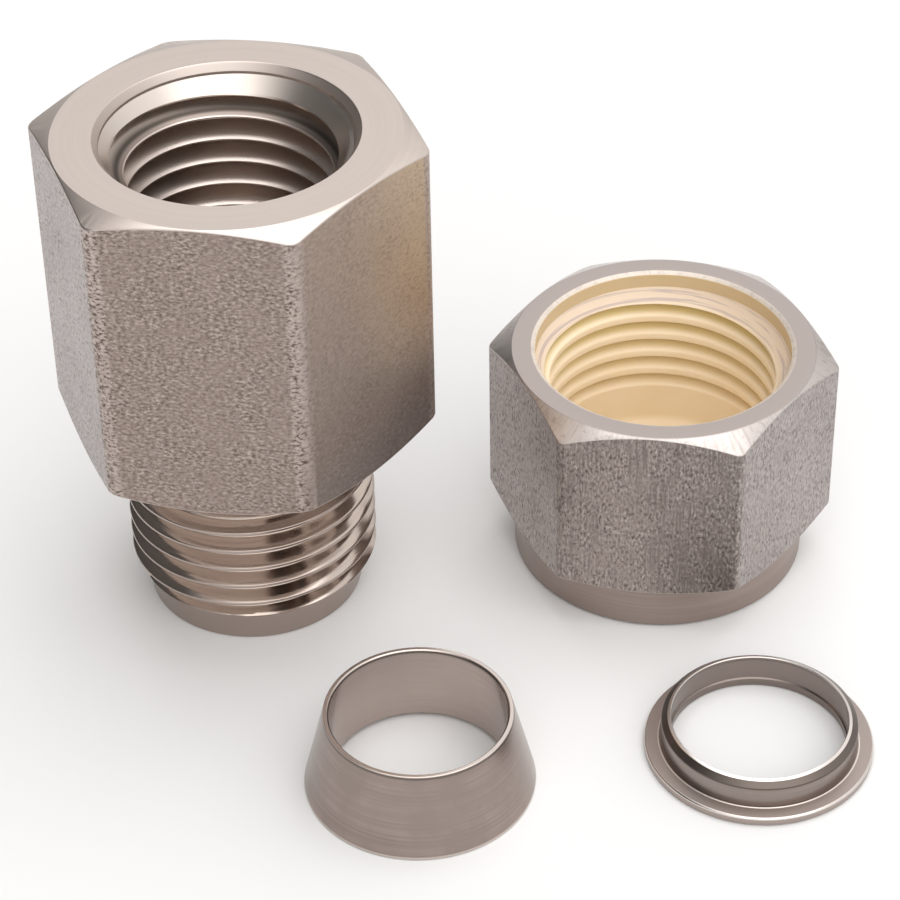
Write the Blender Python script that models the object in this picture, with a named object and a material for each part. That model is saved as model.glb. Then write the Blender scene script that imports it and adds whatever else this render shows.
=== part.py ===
# Female tube connector, taken apart: body, nut, front ferrule and back ferrule.
#
# The body has a hexagon with a tapered pipe thread in its top and a threaded stub below. The nut
# draws the two ferrules into the mouth of the stub and onto the tube. All four pieces stand on one
# plane, each turned the way in which it is put together: from the top down, body, front ferrule,
# back ferrule, nut. Lengths are in metres and +Z is up. The origin is on the plane, under the
# middle of the set.

from math import acos, ceil, cos, floor, pi, radians, sin, tan

import bmesh
import bpy
from mathutils import Vector

MM = 0.001

# Tube and ferrules
TUBE_DIAMETER = 9.525 * MM
TUBE_CLEARANCE = 0.135 * MM  # on the diameter, in every hole that the tube passes
FERRULE_CONE_ANGLE = radians(13.8)  # half angle of the front ferrule and of its seat
FERRULE_LIP = 0.29 * MM  # thickness of both ferrules at their upper rim
FERRULE_ENTRY = 2.55 * MM  # how far the front ferrule goes into its seat by hand
SEAT_CLEARANCE = 0.03 * MM  # round the rim of each ferrule where it starts in its seat
FERRULE_CLEARANCE = 0.13 * MM  # between the front ferrule's wide end and the nut's bore
FLANGE_CLEARANCE = 0.185 * MM  # between the back ferrule's flange and the nut's bore
FLANGE_THICKNESS = 0.46 * MM
BACK_FERRULE_HEIGHT = 2.15 * MM
NECK_WALL = 0.37 * MM
NOSE_BAND = 0.69 * MM  # the back ferrule's widest wall, at the foot of its nose
NOSE_BEVEL_HEIGHT = 0.33 * MM
RELIEF_DEPTH = 0.12 * MM  # groove inside the back ferrule
RELIEF_START = 0.66 * MM
RELIEF_TOP_LAND = 0.2 * MM
EDGE_BREAK = 0.08 * MM

# Coupling thread, on the stub and in the nut
COUPLING_PITCH = 1.27 * MM
COUPLING_CLEARANCE = 0.05 * MM  # radial, taken from the stub and added to the nut
EXTERNAL_DEPTH = 0.6134  # depth of a 60 degree outside thread, in pitches
INTERNAL_DEPTH = 0.5413  # the same for an inside thread, from the basic diameter
EXTERNAL_CREST = 0.125  # width of a crest, in pitches
INTERNAL_CREST = 0.25
WIDEST_FLANK = 0.49  # of the space between two crests, so that some root is left

# Body
BODY_FLATS = 19.05 * MM
BODY_CORNER_DIAMETER = 21.72 * MM  # the bar's corners are rounded off to this
HEXAGON_LENGTH = 18.9 * MM
BODY_FACE_INSET = 0.105 * MM  # from the flats to the edge of the turned end face
BODY_FACE_CHAMFER = radians(17.0)
SHOULDER_INSET = 1.02 * MM
SHOULDER_CHAMFER = radians(25.0)
STUB_LENGTH = 11.4 * MM
NOSE_WALL = 0.4 * MM  # from the ferrule seat to the outside of the nose
NOSE_LENGTH = 1.65 * MM
NOSE_STEP = 0.145 * MM  # from the nose up to the root of the thread
NECK_LENGTH = 1.3 * MM  # plain neck between the thread and the hexagon
NECK_STEP = 0.06 * MM  # the neck is this far under the root
SOCKET_DEPTH = 9.3 * MM  # where the end of the tube stops
FLOW_BORE_DIAMETER = 7.1 * MM
STUB_CREST_HEIGHT = 1.075 * MM  # middle of a crest on the column at angle zero

# Pipe thread in the body
PIPE_DIAMETER = 13.62 * MM  # across the roots, at the end face
PIPE_PITCH = 25.4 * MM / 18
PIPE_THREAD_DEPTH = 0.8  # in pitches
PIPE_CREST = 0.05  # width of a crest, in pitches
PIPE_TAPER = 1 / 32  # on the radius
PORT_DEPTH = 13.5 * MM
PIPE_THREAD_LENGTH = 11.4 * MM
PIPE_RUNOUT = 1.4 * MM
PORT_COUNTERSINK = 0.37 * MM  # the mouth is wider than the roots by this, on the radius
PORT_CREST_DEPTH = 3.01 * MM  # middle of a crest on the column at angle zero, from the end face
DRILL_ANGLE = radians(59.0)

# Nut
NUT_HEIGHT = 13.85 * MM
NUT_RIM_WALL = 1.04 * MM  # from the mouth to the flats
NUT_CORNER_ROUNDING = 0.09 * MM
NUT_FACE_INSET = 0.1 * MM
NUT_FACE_CHAMFER = radians(30.0)
TAIL_INSET = 0.28 * MM  # from the flats to the round tail
TAIL_HEIGHT = 2.62 * MM
TAIL_CHAMFER = radians(27.0)
TAIL_EDGE = 0.2 * MM
MOUTH_CLEARANCE = 0.1 * MM  # between the counterbore and the roots of the nut's thread
MOUTH_BEVEL = 0.4 * MM
MOUTH_BEVEL_DEPTH = 0.28 * MM
COUNTERBORE_DEPTH = 1.0 * MM
COUNTERBORE_CONE = radians(48.0)
NUT_THREAD_LENGTH = 8.6 * MM
NUT_RUNOUT = 1.4 * MM
NUT_CREST_DEPTH = 3.26 * MM  # middle of a crest on the column at angle zero, from the mouth
FERRULE_SHOULDER_DEPTH = 10.0 * MM
FERRULE_SHOULDER_ANGLE = radians(45.0)

# Places on the plane: each piece stands a gap away from one neighbour, on a bearing from +X
BODY_TURN = radians(-9.29)
NUT_TURN = radians(-8.29)
NUT_GAP = 3.04 * MM
NUT_BEARING = radians(6.06)
FRONT_FERRULE_GAP = 3.11 * MM
FRONT_FERRULE_BEARING = radians(-61.98)
BACK_FERRULE_GAP = 2.64 * MM
BACK_FERRULE_BEARING = radians(-76.7)

# Fineness
FACES_PER_FLAT = 7
FERRULE_STEPS = 48
SNAP = 0.05 * MM  # a helix line nearer than this to the end of its thread ends there

# Radii that follow from the sizes above
TUBE_HOLE = (TUBE_DIAMETER + TUBE_CLEARANCE) / 2
FERRULE_RIM = TUBE_HOLE + FERRULE_LIP
SEAT_MOUTH = FERRULE_RIM + FERRULE_ENTRY * tan(FERRULE_CONE_ANGLE) + SEAT_CLEARANCE
NOSE = SEAT_MOUTH + NOSE_WALL
STUB_ROOT = NOSE + NOSE_STEP
STUB_CREST = STUB_ROOT + EXTERNAL_DEPTH * COUPLING_PITCH
COUPLING_RADIUS = STUB_CREST + COUPLING_CLEARANCE
NUT_CREST = COUPLING_RADIUS - INTERNAL_DEPTH * COUPLING_PITCH
NUT_ROOT = COUPLING_RADIUS + COUPLING_CLEARANCE
COUNTERBORE = NUT_ROOT + MOUTH_CLEARANCE
NUT_MOUTH = COUNTERBORE + MOUTH_BEVEL
NUT_FLATS = 2 * (NUT_MOUTH + NUT_RIM_WALL)
NUT_CORNER = NUT_FLATS / 2 / cos(radians(30)) - NUT_CORNER_ROUNDING
BODY_CORNER = BODY_CORNER_DIAMETER / 2
PIPE_ROOT = PIPE_DIAMETER / 2
FERRULE_BASE = NUT_CREST - FERRULE_CLEARANCE
FERRULE_RECESS = FERRULE_LIP + SEAT_CLEARANCE  # under the front ferrule, for the back one's nose
FLANGE = NUT_CREST - FLANGE_CLEARANCE

BODY_HEIGHT = STUB_LENGTH + HEXAGON_LENGTH


def hexagon_radius(angle, flats, corner):
    """Outline of a hexagon with a corner at angle zero, its corners rounded off to a radius."""
    from_flat = angle % (pi / 3) - pi / 6
    return min(flats / 2 / cos(from_flat), corner)


def column_angles(flats, corner):
    """Angles of the columns of faces round a hexagon: one across each corner, the rest along the flats."""
    half_corner = pi / 6 - acos(min(1.0, flats / 2 / corner))
    step = (pi / 3 - 2 * half_corner) / FACES_PER_FLAT
    return [
        side * pi / 3 + half_corner + step * column
        for side in range(6)
        for column in range(FACES_PER_FLAT + 1)
    ]


class Thread:
    """A thread by its lines along the helix. surface(height, share) gives the radius, where share
    runs from 0 on a crest to 1 in a root."""

    def __init__(self, pitch, crest_width, depth, start, surface):
        flank = min(depth * tan(radians(30)), WIDEST_FLANK * (pitch - crest_width))
        half_crest = crest_width / 2
        self.pitch = pitch
        self.start = start
        self.surface = surface
        self.form = [
            (-half_crest, 0),
            (half_crest, 0),
            (half_crest + flank, 1),
            (pitch - half_crest - flank, 1),
        ]

    def lines(self, low, high):
        """Height at angle zero, and share of depth, of each line that passes between two heights."""
        first = floor((low - self.start) / self.pitch) - 2
        last = ceil((high - self.start) / self.pitch) + 1
        return [
            (self.start + turn * self.pitch + offset, share)
            for turn in range(first, last + 1)
            for offset, share in self.form
        ]


class Skin:
    """The closed skin of a piece, made of rings with one vertex on each column, ring after ring."""

    def __init__(self, angles):
        self.angles = angles
        self.mesh = bmesh.new()
        self.first = None
        self.last = None
        self.material = 0

    def vertex(self, radius, angle, height):
        return self.mesh.verts.new((radius * cos(angle), radius * sin(angle), height))

    def face(self, *corners):
        """A face on these corners, of which neighbours may be one and the same vertex."""
        corners = list(dict.fromkeys(corners))
        if len(corners) > 2:
            self.mesh.faces.new(corners).material_index = self.material

    def new_ring(self, radius, height):
        """A ring whose radius and height are numbers, or follow the angle by a function."""
        ring = []
        for angle in self.angles:
            r = radius(angle) if callable(radius) else radius
            z = height(r) if callable(height) else height
            ring.append(self.vertex(r, angle, z))
        self.first = self.first or ring
        return ring

    def join(self, ring, other):
        for k in range(len(ring)):
            self.face(ring[k - 1], ring[k], other[k], other[k - 1])

    def ring(self, radius, height):
        """Goes on from the last ring to a new one."""
        ring = self.new_ring(radius, height)
        if self.last:
            self.join(self.last, ring)
        self.last = ring

    def close(self):
        self.join(self.last, self.first)

    def thread(self, thread, radius, height):
        """Goes on from the last ring to a new one by a thread, whose lines end on the two rings."""
        ring = self.new_ring(radius, height)
        lower, upper = sorted((self.last, ring), key=lambda each: each[0].co.z)
        low, high = lower[0].co.z, upper[0].co.z
        lines = thread.lines(low, high)
        columns = []
        for angle, bottom, top in zip(self.angles, lower, upper):
            column = []
            for start, share in lines:
                z = start + thread.pitch * angle / (2 * pi)
                if z < low + SNAP:
                    column.append(bottom)
                elif z > high - SNAP:
                    column.append(top)
                else:
                    column.append(self.vertex(thread.surface(z, share), angle, z))
            columns.append(column)
        turn = len(thread.form)
        one_turn_on = columns[0][turn:] + [upper[0]] * turn
        for column, following in zip(columns, columns[1:] + [one_turn_on]):
            for k in range(len(lines) - 1):
                self.face(column[k], following[k], following[k + 1], column[k + 1])
        self.last = ring

    def finish(self, name, materials):
        return finish_piece(self.mesh, name, materials)


def finish_piece(mesh, name, materials):
    """The object of a finished bmesh, faces outward, smooth except at its edges."""
    bmesh.ops.recalc_face_normals(mesh, faces=mesh.faces)
    data = bpy.data.meshes.new(name)
    mesh.to_mesh(data)
    mesh.free()
    for material in materials:
        data.materials.append(material)
    data.shade_smooth()
    data.set_sharp_from_angle(angle=radians(24))
    piece = bpy.data.objects.new(name, data)
    bpy.context.scene.collection.objects.link(piece)
    return piece


def turned_ring(name, profile, material):
    """A ring turned from a closed profile of radii and heights."""
    mesh = bmesh.new()
    points = [mesh.verts.new((radius, 0, height)) for radius, height in profile]
    edges = [mesh.edges.new((points[k - 1], points[k])) for k in range(len(points))]
    bmesh.ops.spin(
        mesh,
        geom=points + edges,
        cent=(0, 0, 0),
        axis=(0, 0, 1),
        angle=2 * pi,
        steps=FERRULE_STEPS,
        use_merge=True,
    )
    return finish_piece(mesh, name, [material])


def fading(depth_left, runout):
    """Share of a thread's full depth that is left near its inner end."""
    return max(0.0, min(1.0, depth_left / runout))


def stub_thread():
    """Outside thread cut into a blank with a bevelled start and end."""
    neck = STUB_ROOT - NECK_STEP

    def surface(height, share):
        thread = STUB_CREST + share * (STUB_ROOT - STUB_CREST)
        from_nose = neck + height - NOSE_LENGTH
        from_neck = neck + STUB_LENGTH - NECK_LENGTH - height
        return min(thread, from_nose, from_neck)

    return Thread(
        COUPLING_PITCH,
        EXTERNAL_CREST * COUPLING_PITCH,
        STUB_CREST - STUB_ROOT,
        STUB_CREST_HEIGHT,
        surface,
    )


def pipe_thread():
    """Tapered inside thread, which cuts into the countersunk mouth and fades towards its inner end."""
    depth = PIPE_THREAD_DEPTH * PIPE_PITCH
    mouth = PIPE_ROOT + PORT_COUNTERSINK

    def surface(height, share):
        from_face = BODY_HEIGHT - height
        full = fading(PIPE_THREAD_LENGTH - from_face, PIPE_RUNOUT)
        thread = PIPE_ROOT - depth * (1 - share * full) - PIPE_TAPER * from_face
        return max(thread, mouth - from_face)

    return Thread(
        PIPE_PITCH, PIPE_CREST * PIPE_PITCH, depth, BODY_HEIGHT - PORT_CREST_DEPTH, surface
    )


def nut_thread():
    """Inside thread between the counterbore's cone and the plain bore, into which it fades."""

    def surface(height, share):
        from_mouth = NUT_HEIGHT - height
        full = fading(NUT_THREAD_LENGTH - from_mouth, NUT_RUNOUT)
        thread = NUT_CREST + share * full * (NUT_ROOT - NUT_CREST)
        cone = COUNTERBORE - (from_mouth - COUNTERBORE_DEPTH) * tan(COUNTERBORE_CONE)
        return max(thread, cone)

    return Thread(
        COUPLING_PITCH,
        INTERNAL_CREST * COUPLING_PITCH,
        NUT_ROOT - NUT_CREST,
        NUT_HEIGHT - NUT_CREST_DEPTH,
        surface,
    )


def make_body(steel):
    skin = Skin(column_angles(BODY_FLATS, BODY_CORNER))

    def hexagon(angle):
        return hexagon_radius(angle, BODY_FLATS, BODY_CORNER)

    shoulder = BODY_FLATS / 2 - SHOULDER_INSET
    face = BODY_FLATS / 2 - BODY_FACE_INSET
    neck = STUB_ROOT - NECK_STEP
    port_floor = BODY_HEIGHT - PORT_DEPTH
    port_end = PIPE_ROOT - PIPE_THREAD_DEPTH * PIPE_PITCH - PIPE_TAPER * PORT_DEPTH
    thread_end = BODY_HEIGHT - PIPE_THREAD_LENGTH
    port_at_thread_end = port_end + PIPE_TAPER * (PORT_DEPTH - PIPE_THREAD_LENGTH)
    bore = FLOW_BORE_DIAMETER / 2
    seat_depth = (SEAT_MOUTH - TUBE_HOLE) / tan(FERRULE_CONE_ANGLE)

    # outside, from the nose up
    skin.ring(SEAT_MOUTH, 0)
    skin.ring(NOSE - EDGE_BREAK, 0)
    skin.ring(NOSE, EDGE_BREAK)
    skin.ring(neck, NOSE_LENGTH)
    skin.thread(stub_thread(), neck, STUB_LENGTH - NECK_LENGTH)
    skin.ring(neck, STUB_LENGTH)
    skin.ring(shoulder, STUB_LENGTH)
    skin.ring(hexagon, lambda r: STUB_LENGTH + (r - shoulder) * tan(SHOULDER_CHAMFER))
    skin.ring(hexagon, lambda r: BODY_HEIGHT - (r - face) * tan(BODY_FACE_CHAMFER))
    skin.ring(face, BODY_HEIGHT)

    # inside, from the port down
    skin.ring(PIPE_ROOT + PORT_COUNTERSINK, BODY_HEIGHT)
    skin.thread(pipe_thread(), port_at_thread_end, thread_end)
    skin.ring(port_end, port_floor)
    skin.ring(bore, port_floor - (port_end - bore) / tan(DRILL_ANGLE))
    skin.ring(bore, SOCKET_DEPTH)
    skin.ring(TUBE_HOLE, SOCKET_DEPTH)
    skin.ring(TUBE_HOLE, seat_depth)
    skin.close()
    return skin.finish("connector_body", [steel])


def make_nut(steel, lining):
    skin = Skin(column_angles(NUT_FLATS, NUT_CORNER))

    def hexagon(angle):
        return hexagon_radius(angle, NUT_FLATS, NUT_CORNER)

    tail = NUT_FLATS / 2 - TAIL_INSET
    face = NUT_FLATS / 2 - NUT_FACE_INSET
    thread_end = NUT_HEIGHT - NUT_THREAD_LENGTH
    shoulder = NUT_HEIGHT - FERRULE_SHOULDER_DEPTH
    shoulder_drop = (NUT_CREST - TUBE_HOLE) / tan(FERRULE_SHOULDER_ANGLE)

    # outside, from the tail up
    skin.ring(TUBE_HOLE + TAIL_EDGE, 0)
    skin.ring(tail - TAIL_EDGE, 0)
    skin.ring(tail, TAIL_EDGE)
    skin.ring(tail, TAIL_HEIGHT)
    skin.ring(hexagon, lambda r: TAIL_HEIGHT + (r - tail) * tan(TAIL_CHAMFER))
    skin.ring(hexagon, lambda r: NUT_HEIGHT - (r - face) * tan(NUT_FACE_CHAMFER))
    skin.ring(face, NUT_HEIGHT)
    skin.ring(NUT_MOUTH, NUT_HEIGHT)
    skin.ring(COUNTERBORE, NUT_HEIGHT - MOUTH_BEVEL_DEPTH)

    # inside, from the mouth down, with a dry lubricant on it
    skin.material = 1
    skin.ring(COUNTERBORE, NUT_HEIGHT - COUNTERBORE_DEPTH)
    skin.thread(nut_thread(), NUT_CREST, thread_end)
    skin.ring(NUT_CREST, shoulder)
    skin.ring(TUBE_HOLE, shoulder - shoulder_drop)
    skin.ring(TUBE_HOLE, TAIL_EDGE)
    skin.close()
    return skin.finish("nut", [steel, lining])


def make_front_ferrule(steel):
    height = (FERRULE_BASE - FERRULE_RIM) / tan(FERRULE_CONE_ANGLE)
    edge_in = EDGE_BREAK * tan(FERRULE_CONE_ANGLE)
    profile = [
        (TUBE_HOLE + FERRULE_RECESS, 0),
        (FERRULE_BASE - EDGE_BREAK, 0),
        (FERRULE_BASE - edge_in, EDGE_BREAK),
        (FERRULE_RIM, height),
        (TUBE_HOLE + EDGE_BREAK, height),
        (TUBE_HOLE, height - EDGE_BREAK),
        (TUBE_HOLE, FERRULE_RECESS),
    ]
    return turned_ring("front_ferrule", profile, steel)


def make_back_ferrule(steel):
    nose_foot = BACK_FERRULE_HEIGHT - NOSE_BEVEL_HEIGHT
    relief_end = BACK_FERRULE_HEIGHT - RELIEF_TOP_LAND
    profile = [
        (TUBE_HOLE + EDGE_BREAK, 0),
        (FLANGE - EDGE_BREAK, 0),
        (FLANGE, EDGE_BREAK),
        (FLANGE, FLANGE_THICKNESS - EDGE_BREAK),
        (FLANGE - 2 * EDGE_BREAK, FLANGE_THICKNESS),
        (TUBE_HOLE + NECK_WALL, FLANGE_THICKNESS),
        (TUBE_HOLE + NOSE_BAND, nose_foot),
        (FERRULE_RIM, BACK_FERRULE_HEIGHT - EDGE_BREAK),
        (TUBE_HOLE + EDGE_BREAK, BACK_FERRULE_HEIGHT),
        (TUBE_HOLE, BACK_FERRULE_HEIGHT - EDGE_BREAK),
        (TUBE_HOLE, relief_end),
        (TUBE_HOLE + RELIEF_DEPTH, relief_end - RELIEF_DEPTH),
        (TUBE_HOLE + RELIEF_DEPTH, RELIEF_START + EDGE_BREAK),
        (TUBE_HOLE, RELIEF_START),
        (TUBE_HOLE, EDGE_BREAK),
    ]
    return turned_ring("back_ferrule", profile, steel)


def metal(name, colour, roughness, metallic=1.0):
    material = bpy.data.materials.new(name)
    material.use_nodes = True
    shader = material.node_tree.nodes["Principled BSDF"]
    shader.inputs["Base Color"].default_value = (*colour, 1.0)
    shader.inputs["Roughness"].default_value = roughness
    shader.inputs["Metallic"].default_value = metallic
    return material


def beside(place, distance, bearing):
    """The point at a distance from a place, on a bearing from +X."""
    return place + distance * Vector((cos(bearing), sin(bearing), 0))


def stand_pieces(body, nut, front_ferrule, back_ferrule):
    """Stands the pieces apart, then brings the middle of their box over the origin."""
    body.rotation_euler.z = BODY_TURN
    nut.rotation_euler.z = NUT_TURN
    nut.location = beside(body.location, BODY_CORNER + NUT_CORNER + NUT_GAP, NUT_BEARING)
    front_ferrule.location = beside(
        body.location, BODY_CORNER + FERRULE_BASE + FRONT_FERRULE_GAP, FRONT_FERRULE_BEARING
    )
    back_ferrule.location = beside(
        nut.location, NUT_CORNER + FLANGE + BACK_FERRULE_GAP, BACK_FERRULE_BEARING
    )

    pieces = (body, nut, front_ferrule, back_ferrule)
    bpy.context.view_layer.update()
    points = [piece.matrix_world @ v.co for piece in pieces for v in piece.data.vertices]
    fitting = bpy.data.objects.new("fitting", None)
    bpy.context.scene.collection.objects.link(fitting)
    for axis in (0, 1):
        reach = [point[axis] for point in points]
        fitting.location[axis] = -(min(reach) + max(reach)) / 2
    for piece in pieces:
        piece.parent = fitting


def main():
    for leftover in list(bpy.data.objects):
        bpy.data.objects.remove(leftover)
    bpy.context.scene.unit_settings.system = "METRIC"
    body = make_body(metal("body_steel", (0.52, 0.49, 0.46), 0.36))
    nut = make_nut(
        metal("nut_steel", (0.50, 0.49, 0.48), 0.34),
        metal("nut_lubricant", (0.80, 0.68, 0.45), 0.42, metallic=0.2),
    )
    front_ferrule = make_front_ferrule(metal("front_ferrule_steel", (0.48, 0.45, 0.42), 0.3))
    back_ferrule = make_back_ferrule(metal("back_ferrule_steel", (0.46, 0.43, 0.41), 0.28))
    stand_pieces(body, nut, front_ferrule, back_ferrule)


main()
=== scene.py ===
from math import ceil, cos, floor, hypot, pi, radians, tan

import bmesh
import bpy
from mathutils import Matrix, Vector


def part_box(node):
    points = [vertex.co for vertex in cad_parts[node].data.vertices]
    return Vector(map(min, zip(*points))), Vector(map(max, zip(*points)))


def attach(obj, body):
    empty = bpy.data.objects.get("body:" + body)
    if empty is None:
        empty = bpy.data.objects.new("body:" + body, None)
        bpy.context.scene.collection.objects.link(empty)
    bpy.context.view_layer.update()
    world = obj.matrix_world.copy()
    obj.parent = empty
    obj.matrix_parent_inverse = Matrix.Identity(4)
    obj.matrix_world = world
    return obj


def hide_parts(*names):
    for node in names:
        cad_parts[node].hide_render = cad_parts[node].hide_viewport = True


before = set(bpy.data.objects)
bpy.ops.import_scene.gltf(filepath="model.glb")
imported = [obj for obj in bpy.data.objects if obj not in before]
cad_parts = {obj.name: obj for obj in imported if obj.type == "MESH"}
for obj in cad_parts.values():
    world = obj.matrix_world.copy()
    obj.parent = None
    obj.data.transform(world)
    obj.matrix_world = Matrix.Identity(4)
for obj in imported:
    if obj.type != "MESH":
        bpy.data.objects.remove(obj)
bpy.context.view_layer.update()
mm = 0.001
columns = 144            # faces round every turned surface
flankAngle = 30          # degrees, half the angle between the two flanks of a thread
weldDistance = 0.002     # mm, points nearer than this become one
sharpAngle = 16          # degrees, edges that turn more than this count as sharp

# what the pieces share; as in their own dictionaries, lengths are in millimetres and angles
# in degrees
fitting = {
    "tubeHole": 4.83,          # radius of the hole for the tube, through all four pieces
    "seatAngle": 13.8,         # slope of the front ferrule's cone and of its seat in the body
    "couplingPitch": 1.27,     # 20 threads to the inch, on the stub and in the nut
    "portPitch": 25.4 / 18,    # 18 threads to the inch
}


def axisOf(node):
    low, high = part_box(node)
    return Vector(((low.x + high.x) / 2, (low.y + high.y) / 2, 0))


def heightOf(node):
    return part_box(node)[1].z / mm


# Turned and threaded skins, in millimetres round the Z axis

def profileWire(points, rounding=6):
    # a wire in the XZ plane; a third number says how far that corner is cut back and rounded
    bm = bmesh.new()
    verts = [bm.verts.new((point[0], 0, point[1])) for point in points]
    for near, far in zip(verts, verts[1:]):
        bm.edges.new((near, far))
    for vert, point in zip(verts, points):
        if len(point) == 3:
            bmesh.ops.bevel(bm, geom=[vert], offset=point[2], offset_type="OFFSET",
                            segments=rounding, profile=0.5, affect="VERTICES", material=-1)
    return bm


def spinWire(bm, climb=0.0):
    bmesh.ops.spin(bm, geom=bm.verts[:] + bm.edges[:], cent=(0, 0, 0), axis=(0, 0, 1),
                   dvec=(0, 0, climb / columns), angle=2 * pi, steps=columns,
                   use_merge=climb == 0)
    return bm


def paint(bm, material):
    for face in bm.faces:
        face.material_index = material
    return bm


def turnedSkin(points, material):
    return paint(spinWire(profileWire(points)), material)


def threadSkin(thread, low, high, shape, material):
    # one turn of the helix, repeated up the axis with a turn to spare at each end, then laid
    # onto the blank and its two end rings
    longest = 0.3        # mm, longer edges are divided, so that a runout can bend them
    snap = 0.02          # mm, rows nearer than this to an end go onto it
    pitch, crest, root = thread["pitch"], thread["crest"], thread["root"]
    flat = thread["crestWidth"] / 2
    flank = abs(crest - root) * tan(radians(flankAngle))
    bm = profileWire([
        (crest, 0),
        (crest, flat, thread["crestRound"]),
        (root, flat + flank, thread["rootRound"]),
        (root, pitch - flat - flank, thread["rootRound"]),
        (crest, pitch - flat, thread["crestRound"]),
        (crest, pitch),
    ], rounding=4)
    longEdges = [edge for edge in bm.edges if edge.calc_length() > longest]
    bmesh.ops.subdivide_edges(bm, edges=longEdges, cuts=4)
    spinWire(bm, climb=pitch)
    oneTurn = bm.verts[:] + bm.edges[:] + bm.faces[:]
    first = thread["start"] + pitch * (floor((low - thread["start"]) / pitch) - 1)
    bmesh.ops.translate(bm, verts=bm.verts[:], vec=(0, 0, first))
    for turn in range(1, ceil((high - low) / pitch) + 3):
        copy = bmesh.ops.duplicate(bm, geom=oneTurn)["geom"]
        copied = [each for each in copy if isinstance(each, bmesh.types.BMVert)]
        bmesh.ops.translate(bm, verts=copied, vec=(0, 0, pitch * turn))
    for vert in bm.verts:
        radius, height = hypot(vert.co.x, vert.co.y), vert.co.z
        if height < low + snap:
            height = low
        if height > high - snap:
            height = high
        reach = shape(radius, height) / radius
        vert.co = (vert.co.x * reach, vert.co.y * reach, height)
    bmesh.ops.remove_doubles(bm, verts=bm.verts[:], dist=weldDistance)
    return paint(bm, material)


def hexagonSkin(points, flats, cornerRadius, edge):
    # a turned bar cut by six flats, and by narrow facets that round its corners; rims eased
    step = 7.5           # degrees from one cut to the next, of which every eighth is a flat
    sliver = 0.03        # mm, corners of a cut nearer than this become one
    onCut = 0.001        # mm, edges nearer than this to a cut are its rim
    leaning = 0.3        # up or down share of a normal, above it the face is turned, not drawn
    bm = turnedSkin(points, 0)
    for cut in range(round(360 / step)):
        offCorner = min(step * cut % 60, -step * cut % 60)
        reach = (flats / 2 - cornerRadius) / cos(radians(30)) * cos(radians(offCorner))
        reach += cornerRadius
        outward = Matrix.Rotation(radians(step * cut), 3, "Z") @ Vector((1, 0, 0))
        edges = bmesh.ops.bisect_plane(bm, geom=bm.verts[:] + bm.edges[:] + bm.faces[:],
                                       plane_co=outward * reach, plane_no=outward,
                                       clear_outer=True)["geom_cut"]
        corners = [each for each in edges if isinstance(each, bmesh.types.BMVert)]
        bmesh.ops.remove_doubles(bm, verts=corners, dist=sliver)
        rim = [e for e in bm.edges
               if e.is_boundary and all(abs(v.co @ outward - reach) < onCut for v in e.verts)]
        bmesh.ops.contextual_create(bm, geom=rim)
    bmesh.ops.recalc_face_normals(bm, faces=bm.faces[:])
    sharp = [e for e in bm.edges if e.is_manifold and e.calc_face_angle() > radians(sharpAngle)]
    bmesh.ops.bevel(bm, geom=sharp, offset=edge, offset_type="OFFSET", segments=5, profile=0.5,
                    affect="EDGES", clamp_overlap=False, loop_slide=True, material=-1)
    for face in bm.faces:
        face.material_index = 1 if abs(face.normal.z) > leaning else 0
    return bm


def weld(skins):
    whole = bmesh.new()
    for skin in skins:
        mesh = bpy.data.meshes.new("skin")
        skin.to_mesh(mesh)
        skin.free()
        whole.from_mesh(mesh)
        bpy.data.meshes.remove(mesh)
    bmesh.ops.remove_doubles(whole, verts=whole.verts[:], dist=weldDistance)
    bmesh.ops.recalc_face_normals(whole, faces=whole.faces[:])
    return whole


def standPiece(bm, name, node, turn, finishes):
    # from millimetres on the Z axis to the CAD piece's own place
    openEdges = sum(1 for e in bm.edges if not e.is_manifold)
    place = Matrix.Translation(axisOf(node)) @ Matrix.Rotation(radians(turn), 4, "Z")
    bm.transform(place @ Matrix.Scale(mm, 4))
    mesh = bpy.data.meshes.new(name)
    bm.to_mesh(mesh)
    bm.free()
    for finish in finishes:
        mesh.materials.append(finish.material)
    mesh.shade_smooth()
    mesh.set_sharp_from_angle(angle=radians(sharpAngle))
    piece = bpy.data.objects.new(name, mesh)
    bpy.context.scene.collection.objects.link(piece)
    even = piece.modifiers.new("evenShading", "WEIGHTED_NORMAL")
    even.keep_sharp = True
    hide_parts(node)
    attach(piece, "root")
    print("modelled", name, len(mesh.polygons), "faces,", openEdges, "open edges")
    return piece


# Finishes

class Nodes:
    def __init__(self, tree):
        self.tree = tree

    def feed(self, socket, value):
        if isinstance(value, bpy.types.NodeSocket):
            self.tree.links.new(value, socket)
        else:
            socket.default_value = value

    def add(self, kind, inputs, output=0, **settings):
        node = self.tree.nodes.new("ShaderNode" + kind)
        for name, value in settings.items():
            setattr(node, name, value)
        for name, value in inputs.items():
            self.feed(node.inputs[name], value)
        return node.outputs[output]

    def math(self, operation, first, second=0.0, third=0.0):
        return self.add("Math", {0: first, 1: second, 2: third}, operation=operation)

    def axis(self, vector, letter):
        return self.add("SeparateXYZ", {0: vector}, output=letter)

    def between(self, value, low, high, start=0.0, end=1.0):
        return self.add("MapRange", {"Value": value, "From Min": low, "From Max": high,
                                     "To Min": start, "To Max": end}, clamp=True)

    def both(self, *shares):
        product = shares[0]
        for share in shares[1:]:
            product = self.math("MULTIPLY", product, share)
        return product

    def blend(self, share, first, second):
        mix = self.tree.nodes.new("ShaderNodeMix")
        mix.data_type = "RGBA"
        for socket, value in ((0, share), (6, first), (7, second)):
            self.feed(mix.inputs[socket], value)
        return mix.outputs[2]


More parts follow.
